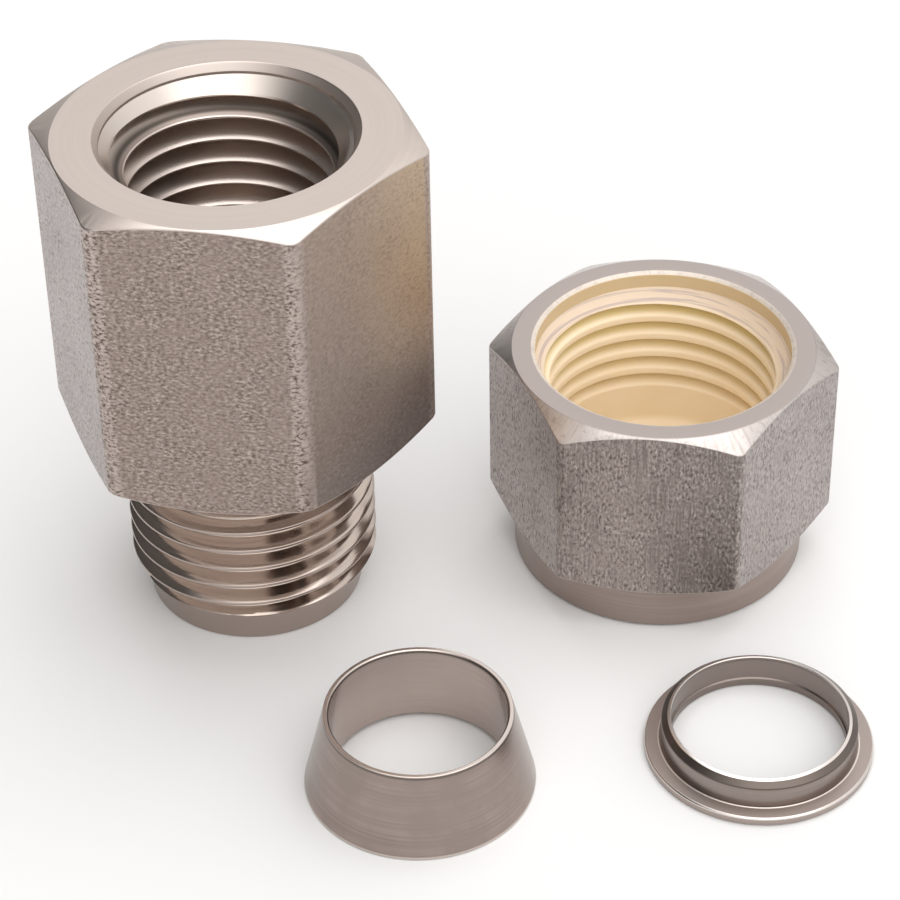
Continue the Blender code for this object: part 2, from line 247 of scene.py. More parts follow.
class Finish(Nodes):
    def __init__(self, name, node, turn):
        self.material = bpy.data.materials.new(name)
        self.material.use_nodes = True
        super().__init__(self.material.node_tree)
        self.shader = self.tree.nodes["Principled BSDF"]
        self.place = self.coordinates(node, turn) if node else None

    def set(self, **values):
        for name, value in values.items():
            self.feed(self.shader.inputs[name.replace("_", " ")], value)

    def coordinates(self, node, turn):
        # in millimetres, with the piece's axis in the middle and its turn taken off
        back = Matrix.Rotation(radians(-turn), 3, "Z")
        return self.add("Mapping", {
            "Vector": self.add("TexCoord", {}, output="Object"),
            "Location": -(back @ axisOf(node)) / mm,
            "Rotation": (0, 0, radians(-turn)),
            "Scale": (1 / mm, 1 / mm, 1 / mm),
        })

    def radius(self):
        flat = self.add("VectorMath", {0: self.place, 1: (1, 1, 0)}, operation="MULTIPLY")
        return self.add("VectorMath", {0: flat}, output="Value", operation="LENGTH")

    def noise(self, scale, vector=None, detail=2.0, roughness=0.5, stretch=(1, 1, 1)):
        start = self.add("Mapping", {"Vector": vector or self.place, "Scale": stretch})
        return self.add("TexNoise", {"Vector": start, "Scale": scale, "Detail": detail,
                                     "Roughness": roughness})

    def rings(self, scale, waver=0.01):
        # noise on radius and height only, wavering a little, so that it runs round the axis
        level = self.add("CombineXYZ", {0: self.radius(), 1: self.axis(self.place, "Z"), 2: 0.0})
        drift = self.add("VectorMath", {0: self.place, "Scale": waver}, operation="SCALE")
        drifting = self.add("VectorMath", {0: level, 1: drift}, operation="ADD")
        return self.noise(scale, drifting, detail=3.0, roughness=0.7)

    def rays(self, scale, angleSpread=9.0, radiusSpread=0.1):
        # noise on the angle, and hardly on the radius, so that it runs out from the axis
        angle = self.math("ARCTAN2", self.axis(self.place, "Y"), self.axis(self.place, "X"))
        spread = self.add("CombineXYZ", {
            0: self.math("MULTIPLY", angle, angleSpread),
            1: self.math("MULTIPLY", self.radius(), radiusSpread),
            2: 0.0,
        })
        return self.noise(scale, spread, detail=3.0)

    def climb(self, pitch):
        # the height with the thread's rise taken off, counted from the back of the piece
        angle = self.math("ARCTAN2", self.axis(self.place, "X"), self.axis(self.place, "Y"))
        return self.math("MULTIPLY_ADD", angle, pitch / (2 * pi), self.axis(self.place, "Z"))

    def bump(self, height, depth):
        return self.add("Bump", {"Height": height, "Distance": depth * mm, "Strength": 1.0})


def shade(red, green, blue):
    return (red, green, blue, 1.0)


turnedTexture = {
    "lineEdges": (0.3, 0.7), "lineShare": 0.7,
    "cloudScale": 0.35, "cloudEdges": (0.2, 0.8), "cloudShare": 0.3,
    "stainScale": 0.42, "stainStretch": (1, 1, 0.5), "stainEdges": (0.42, 0.6),
    "stainShare": 0.8,
    "climbFade": (-5.5, -3.5),   # mm from front to back, where zones on the climb come in
}
drawnTexture = {"pitEdges": (0.5, 0.36), "fleckEdges": (0.54, 0.66), "cloudEdges": (0.3, 0.7),
                "patchEdges": (0.35, 0.65)}


def turnedSteel(name, node, turn, look):
    # lathe-turned: fine rings in relief and colour, cloudy gloss, zones with their own look,
    # many of them painted shade or highlights
    # a zone says what it is measured on, where it starts and is full, its colour and roughness
    texture = turnedTexture
    finish = Finish(name, node, turn)
    place = {"radius": finish.radius(), "height": finish.axis(finish.place, "Z"),
             "climb": finish.climb(look.get("pitch", 0.0))}
    lines = finish.rings(look["lineScale"])
    cloud = finish.noise(texture["cloudScale"], detail=3.0)
    tone = finish.math("ADD",
                       finish.between(lines, *texture["lineEdges"], 0, texture["lineShare"]),
                       finish.between(cloud, *texture["cloudEdges"], 0, texture["cloudShare"]))
    colour = finish.blend(tone, look["dark"], look["light"])
    roughness = finish.between(cloud, *texture["cloudEdges"], *look["roughness"])
    if "stain" in look:
        patches = finish.noise(texture["stainScale"], detail=4.0, roughness=0.6,
                               stretch=texture["stainStretch"])
        stained = finish.between(patches, *texture["stainEdges"], 0, texture["stainShare"])
        colour = finish.blend(stained, colour, look["stain"])
    for measure, outside, inside, zoneColour, zoneRoughness in look.get("zones", []):
        share = finish.between(place[measure], outside, inside)
        if measure == "climb":    # faded out at the front, where the angle starts again
            behind = finish.between(finish.axis(finish.place, "Y"), *texture["climbFade"])
            share = finish.both(share, behind)
        colour = finish.blend(share, colour, zoneColour)
        roughness = finish.between(share, 0, 1, roughness, zoneRoughness)
    finish.set(Base_Color=colour, Metallic=1.0, Roughness=roughness,
               Normal=finish.bump(lines, look["lineDepth"]))
    return finish


def grainSpots(finish, grain, strength):
    # dark pits and bright flecks of a drawn bar, from one noise
    return (finish.both(finish.between(grain, *drawnTexture["pitEdges"]), strength),
            finish.both(finish.between(grain, *drawnTexture["fleckEdges"]), strength))


# Body; as in the other pieces, sizes across the axis are radii, apart from the flats

bodyHeight = heightOf("connector_body")
body = {
    "turn": -9.29, "height": bodyHeight, "flats": 19.05, "corner": 10.86, "cornerRadius": 0.92,
    "edge": 0.08, "faceInset": 0.105, "faceChamfer": 17.0,
    "shoulderInset": 1.02, "shoulderChamfer": 25.0, "stub": 11.4,
    "nose": 6.176, "noseLength": 1.65, "neck": 6.26, "neckLength": 1.3, "noseEdge": 0.08,
    "seatMouth": 5.776, "socket": 9.3, "bore": 3.55,
    "portDepth": 13.5, "portThreadLength": 11.4, "portRunout": 1.4, "portMouth": 7.18,
    "portStep": 6.86, "countersinkDepth": 0.42, "portStepDepth": 0.17, "entrySlope": 0.88,
    "portEnd": 5.2592, "taper": 1 / 32, "drill": 59.0,
    "rounds": {"mouth": 0.03, "step": 0.02, "portEnd": 0.1, "stop": 0.1, "seat": 0.2,
               "seatMouth": 0.06, "nose": 0.04, "neck": 0.15},
    "stubThread": {
        "pitch": fitting["couplingPitch"], "crest": 7.1004, "root": 6.3213,
        "crestWidth": 0.159, "crestRound": 0.05, "rootRound": 0.07, "start": 1.075,
    },
    "portThread": {
        "pitch": fitting["portPitch"], "crest": 5.6811, "root": 6.81, "crestWidth": 0.07,
        "crestRound": 0.02, "rootRound": 0.05, "start": bodyHeight - 2.98,
    },
    "faceLook": {
        "light": shade(0.665, 0.582, 0.533), "dark": shade(0.60, 0.527, 0.485),
        "lineScale": 5.0, "lineDepth": 0.0008, "roughness": (0.26, 0.36),
        "zones": [("radius", 7.16, 7.12, shade(0.60, 0.525, 0.48), 0.45)],
    },
    "portLook": {
        "light": shade(0.68, 0.59, 0.54), "dark": shade(0.61, 0.53, 0.485),
        "lineScale": 12.0, "lineDepth": 0.0015, "roughness": (0.25, 0.31),
        "pitch": fitting["portPitch"],
        "zones": [
            # painted shade: the thread's flanks and roots a little darker than its crests
            ("radius", 5.7, 5.84, shade(0.62, 0.53, 0.475), 0.3),
            # painted shade on the first flank below the entry, darkest in its middle; then a
            # plain tone, and lighter higher up towards the entry
            ("climb", bodyHeight - 2.57, bodyHeight - 2.53, shade(0.27, 0.223, 0.197), 0.3),
            ("climb", bodyHeight - 2.47, bodyHeight - 2.39, shade(0.085, 0.07, 0.06), 0.35),
            ("climb", bodyHeight - 2.33, bodyHeight - 2.02, shade(0.60, 0.515, 0.455), 0.3),
            ("climb", bodyHeight - 1.75, bodyHeight - 1.6, shade(0.73, 0.655, 0.60), 0.3),
        ],
    },
    "stubLook": {
        "light": shade(0.60, 0.515, 0.46), "dark": shade(0.47, 0.39, 0.345),
        "lineScale": 9.0, "lineDepth": 0.002, "roughness": (0.1, 0.17),
        "zones": [
            ("radius", 7.03, 7.07, shade(0.46, 0.385, 0.345), 0.2),
            # painted reflection: the nose below the thread darker, as if it reflected darker
            # surroundings
            ("height", 1.7, 1.6, shade(0.41, 0.342, 0.308), 0.25),
        ],
    },
    "drawnLook": {
        "light": shade(0.345, 0.277, 0.248), "dark": shade(0.15, 0.11, 0.095),
        "fleck": shade(0.58, 0.49, 0.45), "roughness": (0.4, 0.5),
        "grainScale": 5.0, "grainStretch": (0.8, 0.8, 1.3), "grainDepth": 0.02,
        "cloudScale": 0.22, "patchScale": 0.6, "strength": (0.45, 0.85),
        # painted light and shade: the left and right flats lighter than the front one, the right
        # flat darker towards its foot
        "sideFrom": (5.2, 5.6), "leftFlatLit": shade(0.47, 0.43, 0.425),
        "rightFlatLit": shade(0.41, 0.335, 0.289), "rightStrength": 0.4,
        "rightFootShade": shade(0.27, 0.227, 0.209), "footShadeFrom": (19.0, 12.0),
        "tint": shade(0.54, 0.435, 0.325), "tintAcross": (7.6, 9.8), "tintUp": (15.0, 24.0),
        "tintCloud": (0.3, 0.6), "leastTint": 0.5,
        # painted highlight on the rounded corners, where the grain is also stronger
        "corner": shade(0.45, 0.38, 0.345), "cornerFrom": (10.64, 10.74),
        "cornerStrength": 0.45,
    },
}


def stubShape(radius, height):
    fromNose = body["neck"] + height - body["noseLength"]
    fromNeck = body["neck"] + body["stub"] - body["neckLength"] - height
    return min(radius, fromNose, fromNeck)


def portShape(radius, height):
    crest, fromFace = body["portThread"]["crest"], body["height"] - height
    full = max(0.0, min(1.0, (body["portThreadLength"] - fromFace) / body["portRunout"]))
    cut = crest + full * (radius - crest) - body["taper"] * fromFace
    fromStep = fromFace - body["countersinkDepth"] - body["portStepDepth"]
    return max(cut, body["portStep"] - fromStep * body["entrySlope"])


def modelBody(drawn, turned, portSteel, stubSteel):
    height, flats, corner = body["height"], body["flats"], body["corner"]
    tubeHole, rounds = fitting["tubeHole"], body["rounds"]
    face = flats / 2 - body["faceInset"]
    shoulder = flats / 2 - body["shoulderInset"]
    shoulderRise = (corner - shoulder) * tan(radians(body["shoulderChamfer"]))
    faceDrop = (corner - face) * tan(radians(body["faceChamfer"]))
    threadEnd = height - body["portThreadLength"]
    beyondThread = body["portDepth"] - body["portThreadLength"]
    floorHeight = height - body["portDepth"]
    drillDrop = (body["portEnd"] - body["bore"]) / tan(radians(body["drill"]))
    seatDepth = (body["seatMouth"] - tubeHole) / tan(radians(fitting["seatAngle"]))
    step = height - body["countersinkDepth"]
    entry = step - body["portStepDepth"]
    neckEnd = body["stub"] - body["neckLength"]
    whole = weld([
        hexagonSkin([
            (shoulder, body["stub"]),
            (corner, body["stub"] + shoulderRise),
            (corner, height - faceDrop),
            (face, height),
        ], flats, body["cornerRadius"], body["edge"]),
        turnedSkin([
            (face, height),
            (body["portMouth"], height, rounds["mouth"]),
            (body["portStep"], step, rounds["step"]),
            (body["portStep"], entry),
        ], 1),
        threadSkin(body["portThread"], threadEnd, entry, portShape, 2),
        turnedSkin([
            (body["portEnd"] + body["taper"] * beyondThread, threadEnd),
            (body["portEnd"], floorHeight, rounds["portEnd"]),
            (body["bore"], floorHeight - drillDrop, rounds["portEnd"]),
            (body["bore"], body["socket"]),
            (tubeHole, body["socket"], rounds["stop"]),
            (tubeHole, seatDepth, rounds["seat"]),
            (body["seatMouth"], 0, rounds["seatMouth"]),
            (body["nose"] - body["noseEdge"], 0, rounds["nose"]),
            (body["nose"], body["noseEdge"], rounds["nose"]),
            (body["neck"], body["noseLength"]),
        ], 3),
        threadSkin(body["stubThread"], body["noseLength"], neckEnd, stubShape, 3),
        turnedSkin([
            (body["neck"], neckEnd),
            (body["neck"], body["stub"], rounds["neck"]),
            (shoulder, body["stub"]),
        ], 3),
    ])
    return standPiece(whole, "bodyTurned", "connector_body", body["turn"],
                      [drawn, turned, portSteel, stubSteel])


def bodyDrawn(look):
    # drawn bar: fine pits and flecks, flats lit or shaded by painted tones, painted highlight on
    # the rounded corners, a heat tint
    finish = Finish("bodyDrawn", "connector_body", body["turn"])
    across, height = finish.axis(finish.place, "X"), finish.axis(finish.place, "Z")
    grain = finish.noise(look["grainScale"], detail=2.0, roughness=0.6,
                         stretch=look["grainStretch"])
    cloud = finish.noise(look["cloudScale"], detail=3.0)
    patches = finish.noise(look["patchScale"], detail=3.0)
    left = finish.between(across, *(-place for place in look["sideFrom"]))
    right = finish.between(across, *look["sideFrom"])
    corner = finish.between(finish.radius(), *look["cornerFrom"])
    # painted light and shade: each flat its own tone, the right one darker towards its foot
    rightFlatShading = finish.blend(finish.between(height, *look["footShadeFrom"]), look["rightFlatLit"],
                             look["rightFootShade"])
    pale = finish.blend(right, look["light"], rightFlatShading)
    pale = finish.blend(left, pale, look["leftFlatLit"])
    tinted = finish.both(finish.between(across, *look["tintAcross"]),
                         finish.between(height, *look["tintUp"]),
                         finish.between(cloud, *look["tintCloud"], look["leastTint"], 1))
    pale = finish.blend(tinted, pale, look["tint"])
    # painted highlight along the rounded corners
    pale = finish.blend(corner, pale, look["corner"])
    strength = finish.math(
        "ADD", finish.between(patches, *drawnTexture["patchEdges"], *look["strength"]),
        finish.math("MULTIPLY", corner, look["cornerStrength"]))
    strength = finish.both(strength, finish.between(right, 0, 1, 1, look["rightStrength"]))
    pits, flecks = grainSpots(finish, grain, strength)
    colour = finish.blend(pits, finish.blend(flecks, pale, look["fleck"]), look["dark"])
    finish.set(
        Base_Color=colour,
        Metallic=1.0,
        Roughness=finish.between(cloud, *drawnTexture["cloudEdges"], *look["roughness"]),
        Normal=finish.bump(grain, look["grainDepth"]),
    )
    return finish


modelBody(bodyDrawn(body["drawnLook"]),
          turnedSteel("bodyFace", "connector_body", body["turn"], body["faceLook"]),
          turnedSteel("bodyPort", "connector_body", body["turn"], body["portLook"]),
          turnedSteel("bodyStub", "connector_body", body["turn"], body["stubLook"]))


# Nut

nutHeight = heightOf("nut")
nut = {
    "turn": -8.29, "height": nutHeight, "flats": 17.4807, "corner": 10.0025,
    "cornerRadius": 0.58, "edge": 0.05, "faceInset": 0.1, "faceChamfer": 30.0,
    "tailInset": 0.28, "tailHeight": 2.62, "tailChamfer": 27.0, "tailEdge": 0.2,
    "mouth": 7.52, "mouthBevelDepth": 0.15, "mouthLip": (0.02, 0.03),
    "counterbore": 7.3004, "counterboreDepth": 1.0, "counterboreCone": 48.0,
    "threadLength": 8.0, "runout": 0.45, "shoulderDepth": 10.0,
    "rounds": {"mouth": 0.04, "shoulder": 0.2, "tubeHole": 0.1, "tail": 0.05},
    "thread": {
        "pitch": fitting["couplingPitch"], "crest": 6.4629, "root": 7.15, "crestWidth": 0.42,
        "crestRound": 0.08, "rootRound": 0.02, "start": nutHeight - 3.08,
    },
    "faceLook": {
        "ring": shade(0.47, 0.41, 0.39), "light": shade(0.62, 0.565, 0.535),
        "dark": shade(0.36, 0.315, 0.295), "bevel": shade(0.76, 0.68, 0.60),
        "roughness": 0.3, "dullRoughness": 0.42, "bevelMetal": 0.25,
        "ringFrom": (-0.04, -0.01),    # above the nut's top
        "bevelFrom": (0.05, -0.01),    # outside the mouth's radius
        "scuffScale": 2.4, "scuffEdges": (0.55, 0.7), "scuffShare": 0.7,
        "rayScale": 6.0, "rayEdges": (0.5, 0.75), "rayShare": 0.6,
        "wornEdges": (0.48, 0.62), "wornShare": 0.4, "bumpScale": 6.0, "bumpDepth": 0.004,
    },
    "tailLook": {
        "light": shade(0.395, 0.325, 0.293), "dark": shade(0.315, 0.255, 0.228),
        "lineScale": 7.0, "lineDepth": 0.002, "roughness": (0.3, 0.4),
    },
    "drawnLook": {
        # painted light and shade: the left and right flats lighter than the front one, the front
        # flat darker towards its right
        "front": shade(0.385, 0.33, 0.305), "frontRightShade": shade(0.325, 0.28, 0.26),
        "frontShadeFade": (0.0, 4.0), "left": shade(0.48, 0.425, 0.41),
        "right": shade(0.41, 0.37, 0.36), "sideFrom": (5.1, 5.3),
        "dark": shade(0.14, 0.115, 0.105), "fleck": shade(0.58, 0.515, 0.48),
        "grainScale": 6.0, "grainStretch": (1.2, 1.2, 0.6), "grainDepth": 0.02,
        "roughness": (0.38, 0.5), "cloudScale": 0.3, "patchScale": 0.9,
        "strength": (0.5, 1), "rightStrength": 0.8,
        "scratchScale": 9.0, "scratchStretch": (1, 1, 0.04), "scratchEdges": (0.52, 0.36),
        "scratchShare": 0.5, "scratchCloud": (0.38, 0.6), "leastScratches": 0.3,
    },
    "coatLook": {
        "light": shade(0.99, 0.84, 0.62), "dark": shade(0.97, 0.80, 0.555),
        "cloudScale": 0.5, "cloudEdges": (0.35, 0.7), "cloudShare": 0.7,
        # painted shade: the wall above the thread a darker tan
        "wall": shade(0.72, 0.565, 0.35), "wallSeam": 0.03,
        # painted shade: the grooves tanner, most near the top of the thread
        "groove": shade(0.78, 0.64, 0.32), "grooveFrom": (6.6, 6.85), "grooveFull": 1.5,
        "leastGrooveShade": 0.2, "lead": shade(0.80, 0.65, 0.50), "leadFrom": (1.0, 0.5),
        "rubbed": shade(0.55, 0.44, 0.40), "rubScale": 4.5, "rubWaver": 0.04,
        "rubEdges": (0.53, 0.6), "rubShare": 0.9,
        "roughness": 0.38, "bumpScale": 7.0, "bumpDepth": 0.004,
    },
}


def nutShape(radius, height):
    crest, fromMouth = nut["thread"]["crest"], nut["height"] - height
    full = max(0.0, min(1.0, (nut["threadLength"] - fromMouth) / nut["runout"]))
    cut = crest + full * (radius - crest)
    drop = (fromMouth - nut["counterboreDepth"]) * tan(radians(nut["counterboreCone"]))
    return max(cut, nut["counterbore"] - drop)


def modelNut(drawn, turned, tailSteel, coated):
    height, flats, corner = nut["height"], nut["flats"], nut["corner"]
    tubeHole, rounds, tailEdge = fitting["tubeHole"], nut["rounds"], nut["tailEdge"]
    crest = nut["thread"]["crest"]
    face = flats / 2 - nut["faceInset"]
    tail = flats / 2 - nut["tailInset"]
    tailRise = (corner - tail) * tan(radians(nut["tailChamfer"]))
    faceDrop = (corner - face) * tan(radians(nut["faceChamfer"]))
    shoulder = height - nut["shoulderDepth"]
    lipWidth, lipDepth = nut["mouthLip"]
    bevelEnd = height - nut["mouthBevelDepth"]
    threadStart = height - nut["counterboreDepth"]
    threadEnd = height - nut["threadLength"]
    whole = weld([
        hexagonSkin([
            (tail, nut["tailHeight"]),
            (corner, nut["tailHeight"] + tailRise),
            (corner, height - faceDrop),
            (face, height),
        ], flats, nut["cornerRadius"], nut["edge"]),
        turnedSkin([
            (tubeHole + tailEdge, 0),
            (tail - tailEdge, 0, rounds["tail"]),
            (tail, tailEdge, rounds["tail"]),
            (tail, nut["tailHeight"]),
        ], 2),
        turnedSkin([
            (face, height),
            (nut["mouth"], height, rounds["mouth"]),
            (nut["counterbore"] + lipWidth, bevelEnd),
        ], 1),
        turnedSkin([
            (nut["counterbore"] + lipWidth, bevelEnd),
            (nut["counterbore"], bevelEnd - lipDepth),
            (nut["counterbore"], threadStart),
        ], 3),
        threadSkin(nut["thread"], threadEnd, threadStart, nutShape, 3),
        turnedSkin([
            (crest, threadEnd),
            (crest, shoulder, rounds["shoulder"]),
            (tubeHole, shoulder - (crest - tubeHole), rounds["tubeHole"]),
            (tubeHole, tailEdge, rounds["tail"]),
            (tubeHole + tailEdge, 0),
        ], 3),
    ])
    return standPiece(whole, "nutTurned", "nut", nut["turn"],
                      [drawn, turned, tailSteel, coated])


def nutFace(look):
    # satin ring round the mouth, bevel dusted with the coat inside it, scuffed chamfers outside
    finish = Finish("nutFace", "nut", nut["turn"])
    radius, height = finish.radius(), finish.axis(finish.place, "Z")
    ring = finish.between(height, *(nut["height"] + offset for offset in look["ringFrom"]))
    bevel = finish.between(radius, *(nut["mouth"] + offset for offset in look["bevelFrom"]))
    dull = finish.math("MAXIMUM", ring, bevel)
    scuffs = finish.noise(look["scuffScale"], detail=4.0, roughness=0.7)
    rays = finish.rays(look["rayScale"])
    marks = finish.math("MAXIMUM",
                        finish.between(scuffs, *look["scuffEdges"], 0, look["scuffShare"]),
                        finish.between(rays, *look["rayEdges"], 0, look["rayShare"]))
    colour = finish.blend(marks, look["light"], look["dark"])
    colour = finish.blend(ring, colour, look["ring"])
    worn = finish.blend(finish.between(scuffs, *look["wornEdges"], 0, look["wornShare"]),
                        look["bevel"], look["ring"])
    colour = finish.blend(bevel, colour, worn)
    finish.set(
        Base_Color=colour,
        Metallic=finish.between(bevel, 0, 1, 1, look["bevelMetal"]),
        Roughness=finish.between(dull, 0, 1, look["roughness"], look["dullRoughness"]),
        Normal=finish.bump(finish.noise(look["bumpScale"], detail=3.0), look["bumpDepth"]),
    )
    return finish


def nutDrawn(look):
    # drawn bar: pits and flecks, long soft scratches up the front flat, flats lit or shaded by
    # painted tones
    finish = Finish("nutDrawn", "nut", nut["turn"])
    across = finish.axis(finish.place, "X")
    grain = finish.noise(look["grainScale"], detail=2.0, roughness=0.6,
                         stretch=look["grainStretch"])
    scratches = finish.noise(look["scratchScale"], detail=2.0, stretch=look["scratchStretch"])
    cloud = finish.noise(look["cloudScale"], detail=3.0)
    patches = finish.noise(look["patchScale"], detail=2.0)
    left = finish.between(across, *(-place for place in look["sideFrom"]))
    right = finish.between(across, *look["sideFrom"])
    side = finish.math("ADD", left, right)
    # painted light and shade: each flat its own tone, the front one darker towards its right
    pale = finish.blend(finish.between(across, *look["frontShadeFade"]), look["front"],
                        look["frontRightShade"])
    pale = finish.blend(left, pale, look["left"])
    pale = finish.blend(right, pale, look["right"])
    strength = finish.both(
        finish.between(patches, *drawnTexture["patchEdges"], *look["strength"]),
        finish.between(right, 0, 1, 1, look["rightStrength"]))
    pits, flecks = grainSpots(finish, grain, strength)
    least = look["leastScratches"]
    lines = finish.both(
        finish.between(scratches, *look["scratchEdges"], 0, look["scratchShare"]),
        finish.between(cloud, *look["scratchCloud"], least, 1),
        finish.between(side, 0, 1, 1, least))
    colour = finish.blend(flecks, pale, look["fleck"])
    colour = finish.blend(finish.math("MAXIMUM", pits, lines), colour, look["dark"])
    finish.set(
        Base_Color=colour,
        Metallic=1.0,
        Roughness=finish.between(cloud, *drawnTexture["cloudEdges"], *look["roughness"]),
        Normal=finish.bump(finish.math("ADD", grain, scratches), look["grainDepth"]),
    )
    return finish


def nutCoat(look):
    # cream dry lubricant, rubbed where it leads in; painted shade makes it tanner in the grooves
    # and on the wall above
    finish = Finish("nutCoat", "nut", nut["turn"])
    radius, height = finish.radius(), finish.axis(finish.place, "Z")
    threadStart = nut["height"] - nut["counterboreDepth"]
    threadEnd = nut["height"] - nut["threadLength"]
    above, below = threadStart + look["wallSeam"], threadStart - look["wallSeam"]
    cloud = finish.noise(look["cloudScale"], detail=2.0)
    cloudy = finish.between(cloud, *look["cloudEdges"], 0, look["cloudShare"])
    colour = finish.blend(cloudy, look["light"], look["dark"])
    # painted shade in the grooves, less of it towards the bottom of the thread
    grooves = finish.both(
        finish.between(radius, *look["grooveFrom"]),
        finish.between(height, threadEnd, threadStart - look["grooveFull"],
                       look["leastGrooveShade"], 1))
    colour = finish.blend(grooves, colour, look["groove"])
    # painted shade on the wall above the thread
    colour = finish.blend(finish.between(height, below, above), colour, look["wall"])
    lead = finish.both(
        finish.between(height, *(threadStart - depth for depth in look["leadFrom"])),
        finish.between(height, above, below))
    colour = finish.blend(lead, colour, look["lead"])
    streaks = finish.rings(look["rubScale"], waver=look["rubWaver"])
    rubbed = finish.both(lead, finish.between(streaks, *look["rubEdges"], 0, look["rubShare"]))
    colour = finish.blend(rubbed, colour, look["rubbed"])
    finish.set(
        Base_Color=colour,
        Metallic=0.0,
        Roughness=look["roughness"],
        Normal=finish.bump(finish.noise(look["bumpScale"], detail=3.0), look["bumpDepth"]),
    )
    return finish


modelNut(nutDrawn(nut["drawnLook"]), nutFace(nut["faceLook"]),
         turnedSteel("nutTail", "nut", nut["turn"], nut["tailLook"]), nutCoat(nut["coatLook"]))


# Ferrules

frontHeight = heightOf("front_ferrule")
frontFerrule = {
    "turn": 0.0, "height": frontHeight, "rim": 5.12, "base": 6.3329, "recess": 0.32,
    "edge": 0.08,
    "rounds": {"edge": 0.02, "rim": 0.03, "recess": 0.04},
    "look": {
        "light": shade(0.41, 0.333, 0.303), "dark": shade(0.265, 0.213, 0.192),
        "stain": shade(0.30, 0.25, 0.224),
        "lineScale": 4.0, "lineDepth": 0.0035, "roughness": (0.16, 0.28),
        "zones": [
            ("radius", 4.9, 4.76, shade(0.60, 0.51, 0.47), 0.16),
            # painted highlight along the bottom edge
            ("height", 0.22, 0.18, shade(0.58, 0.51, 0.47), 0.25),
            # painted shade in a band under the rim
            ("height", frontHeight - 0.26, frontHeight - 0.12, shade(0.16, 0.13, 0.115), 0.3),
            # painted highlight on the rim
            ("height", frontHeight - 0.06, frontHeight - 0.04, shade(0.66, 0.59, 0.55), 0.2),
        ],
    },
}


def modelFrontFerrule(steel):
    hole, base, edge = fitting["tubeHole"], frontFerrule["base"], frontFerrule["edge"]
    height, recess = frontFerrule["height"], frontFerrule["recess"]
    rounds = frontFerrule["rounds"]
    start = (hole + recess, 0)
    coneStart = base - edge * tan(radians(fitting["seatAngle"]))
    whole = weld([turnedSkin([
        start,
        (base - edge, 0, rounds["edge"]),
        (coneStart, edge, rounds["edge"]),
        (frontFerrule["rim"], height, rounds["rim"]),
        (hole + edge, height, rounds["edge"]),
        (hole, height - edge, rounds["edge"]),
        (hole, recess, rounds["recess"]),
        start,
    ], 0)])
    return standPiece(whole, "frontFerruleTurned", "front_ferrule", frontFerrule["turn"],
                      [steel])


backFerrule = {
    "turn": 0.0, "height": heightOf("back_ferrule"), "flange": 6.2779,
    "flangeThickness": 0.54, "flangeEdge": 0.08,
    "rimWidth": 0.2, "neckFoot": 0.62, "noseBand": 0.52, "relief": 0.1,   # beyond the hole
    "rimDrop": 0.06, "noseBevel": 0.31, "topLand": 0.2,                   # below the top
    "reliefStart": 0.5, "edge": 0.08,
    "rounds": {"edge": 0.02, "flange": 0.03, "neck": 0.05, "rim": 0.01, "relief": 0.03,
               "reliefTop": 0.05},
    "look": {
        "light": shade(0.325, 0.275, 0.252), "dark": shade(0.26, 0.217, 0.198),
        "lineScale": 5.0, "lineDepth": 0.002, "roughness": (0.2, 0.28),
        "zones": [
            # painted shade: the neck darker towards its foot, with a dark line in the crease; a
            # painted highlight on the fillet below
            ("height", 1.0, 0.95, shade(0.295, 0.246, 0.222), 0.28),
            ("height", 0.67, 0.64, shade(0.15, 0.12, 0.105), 0.4),
            ("height", 0.6, 0.58, shade(0.80, 0.73, 0.68), 0.3),
            ("radius", 5.51, 5.55, shade(0.39, 0.333, 0.306), 0.42),
            # painted highlight on the flange's edge
            ("radius", 6.18, 6.2, shade(0.80, 0.74, 0.70), 0.24),
            ("height", 0.43, 0.41, shade(0.40, 0.34, 0.31), 0.3),
            # painted reflection: the nose dark, darkest low on it
            ("height", 1.73, 1.76, shade(0.14, 0.115, 0.10), 0.35),
            ("height", 1.82, 1.85, shade(0.175, 0.146, 0.13), 0.34),
            ("radius", 5.0, 4.97, shade(0.26, 0.215, 0.195), 0.24),
            # painted shade in a band under the top rim
            ("height", 1.99, 2.05, shade(0.17, 0.14, 0.125), 0.3),
            # painted highlight on the top rim
            ("height", 2.08, 2.09, shade(0.76, 0.70, 0.66), 0.2),
        ],
    },
}


def modelBackFerrule(steel):
    hole, edge, height = fitting["tubeHole"], backFerrule["edge"], backFerrule["height"]
    flange, thickness = backFerrule["flange"], backFerrule["flangeThickness"]
    flangeEdge, rounds = backFerrule["flangeEdge"], backFerrule["rounds"]
    relief, reliefEnd = backFerrule["relief"], height - backFerrule["topLand"]
    start = (hole + edge, 0)
    whole = weld([turnedSkin([
        start,
        (flange - edge, 0, rounds["edge"]),
        (flange, edge, rounds["edge"]),
        (flange, thickness - flangeEdge, rounds["flange"]),
        (flange - flangeEdge, thickness, rounds["flange"]),
        (hole + backFerrule["neckFoot"], thickness, rounds["neck"]),
        (hole + backFerrule["noseBand"], height - backFerrule["noseBevel"], rounds["edge"]),
        (hole + backFerrule["rimWidth"], height - backFerrule["rimDrop"], rounds["edge"]),
        (hole + edge / 2, height, rounds["rim"]),
        (hole, height - edge / 2, rounds["rim"]),
        (hole, reliefEnd, rounds["relief"]),
        (hole + relief, reliefEnd - relief, rounds["reliefTop"]),
        (hole + relief, backFerrule["reliefStart"] + edge, rounds["relief"]),
        (hole, backFerrule["reliefStart"], rounds["edge"]),
        (hole, edge, rounds["edge"]),
        start,
    ], 0)])
    return standPiece(whole, "backFerruleTurned", "back_ferrule", backFerrule["turn"],
                      [steel])


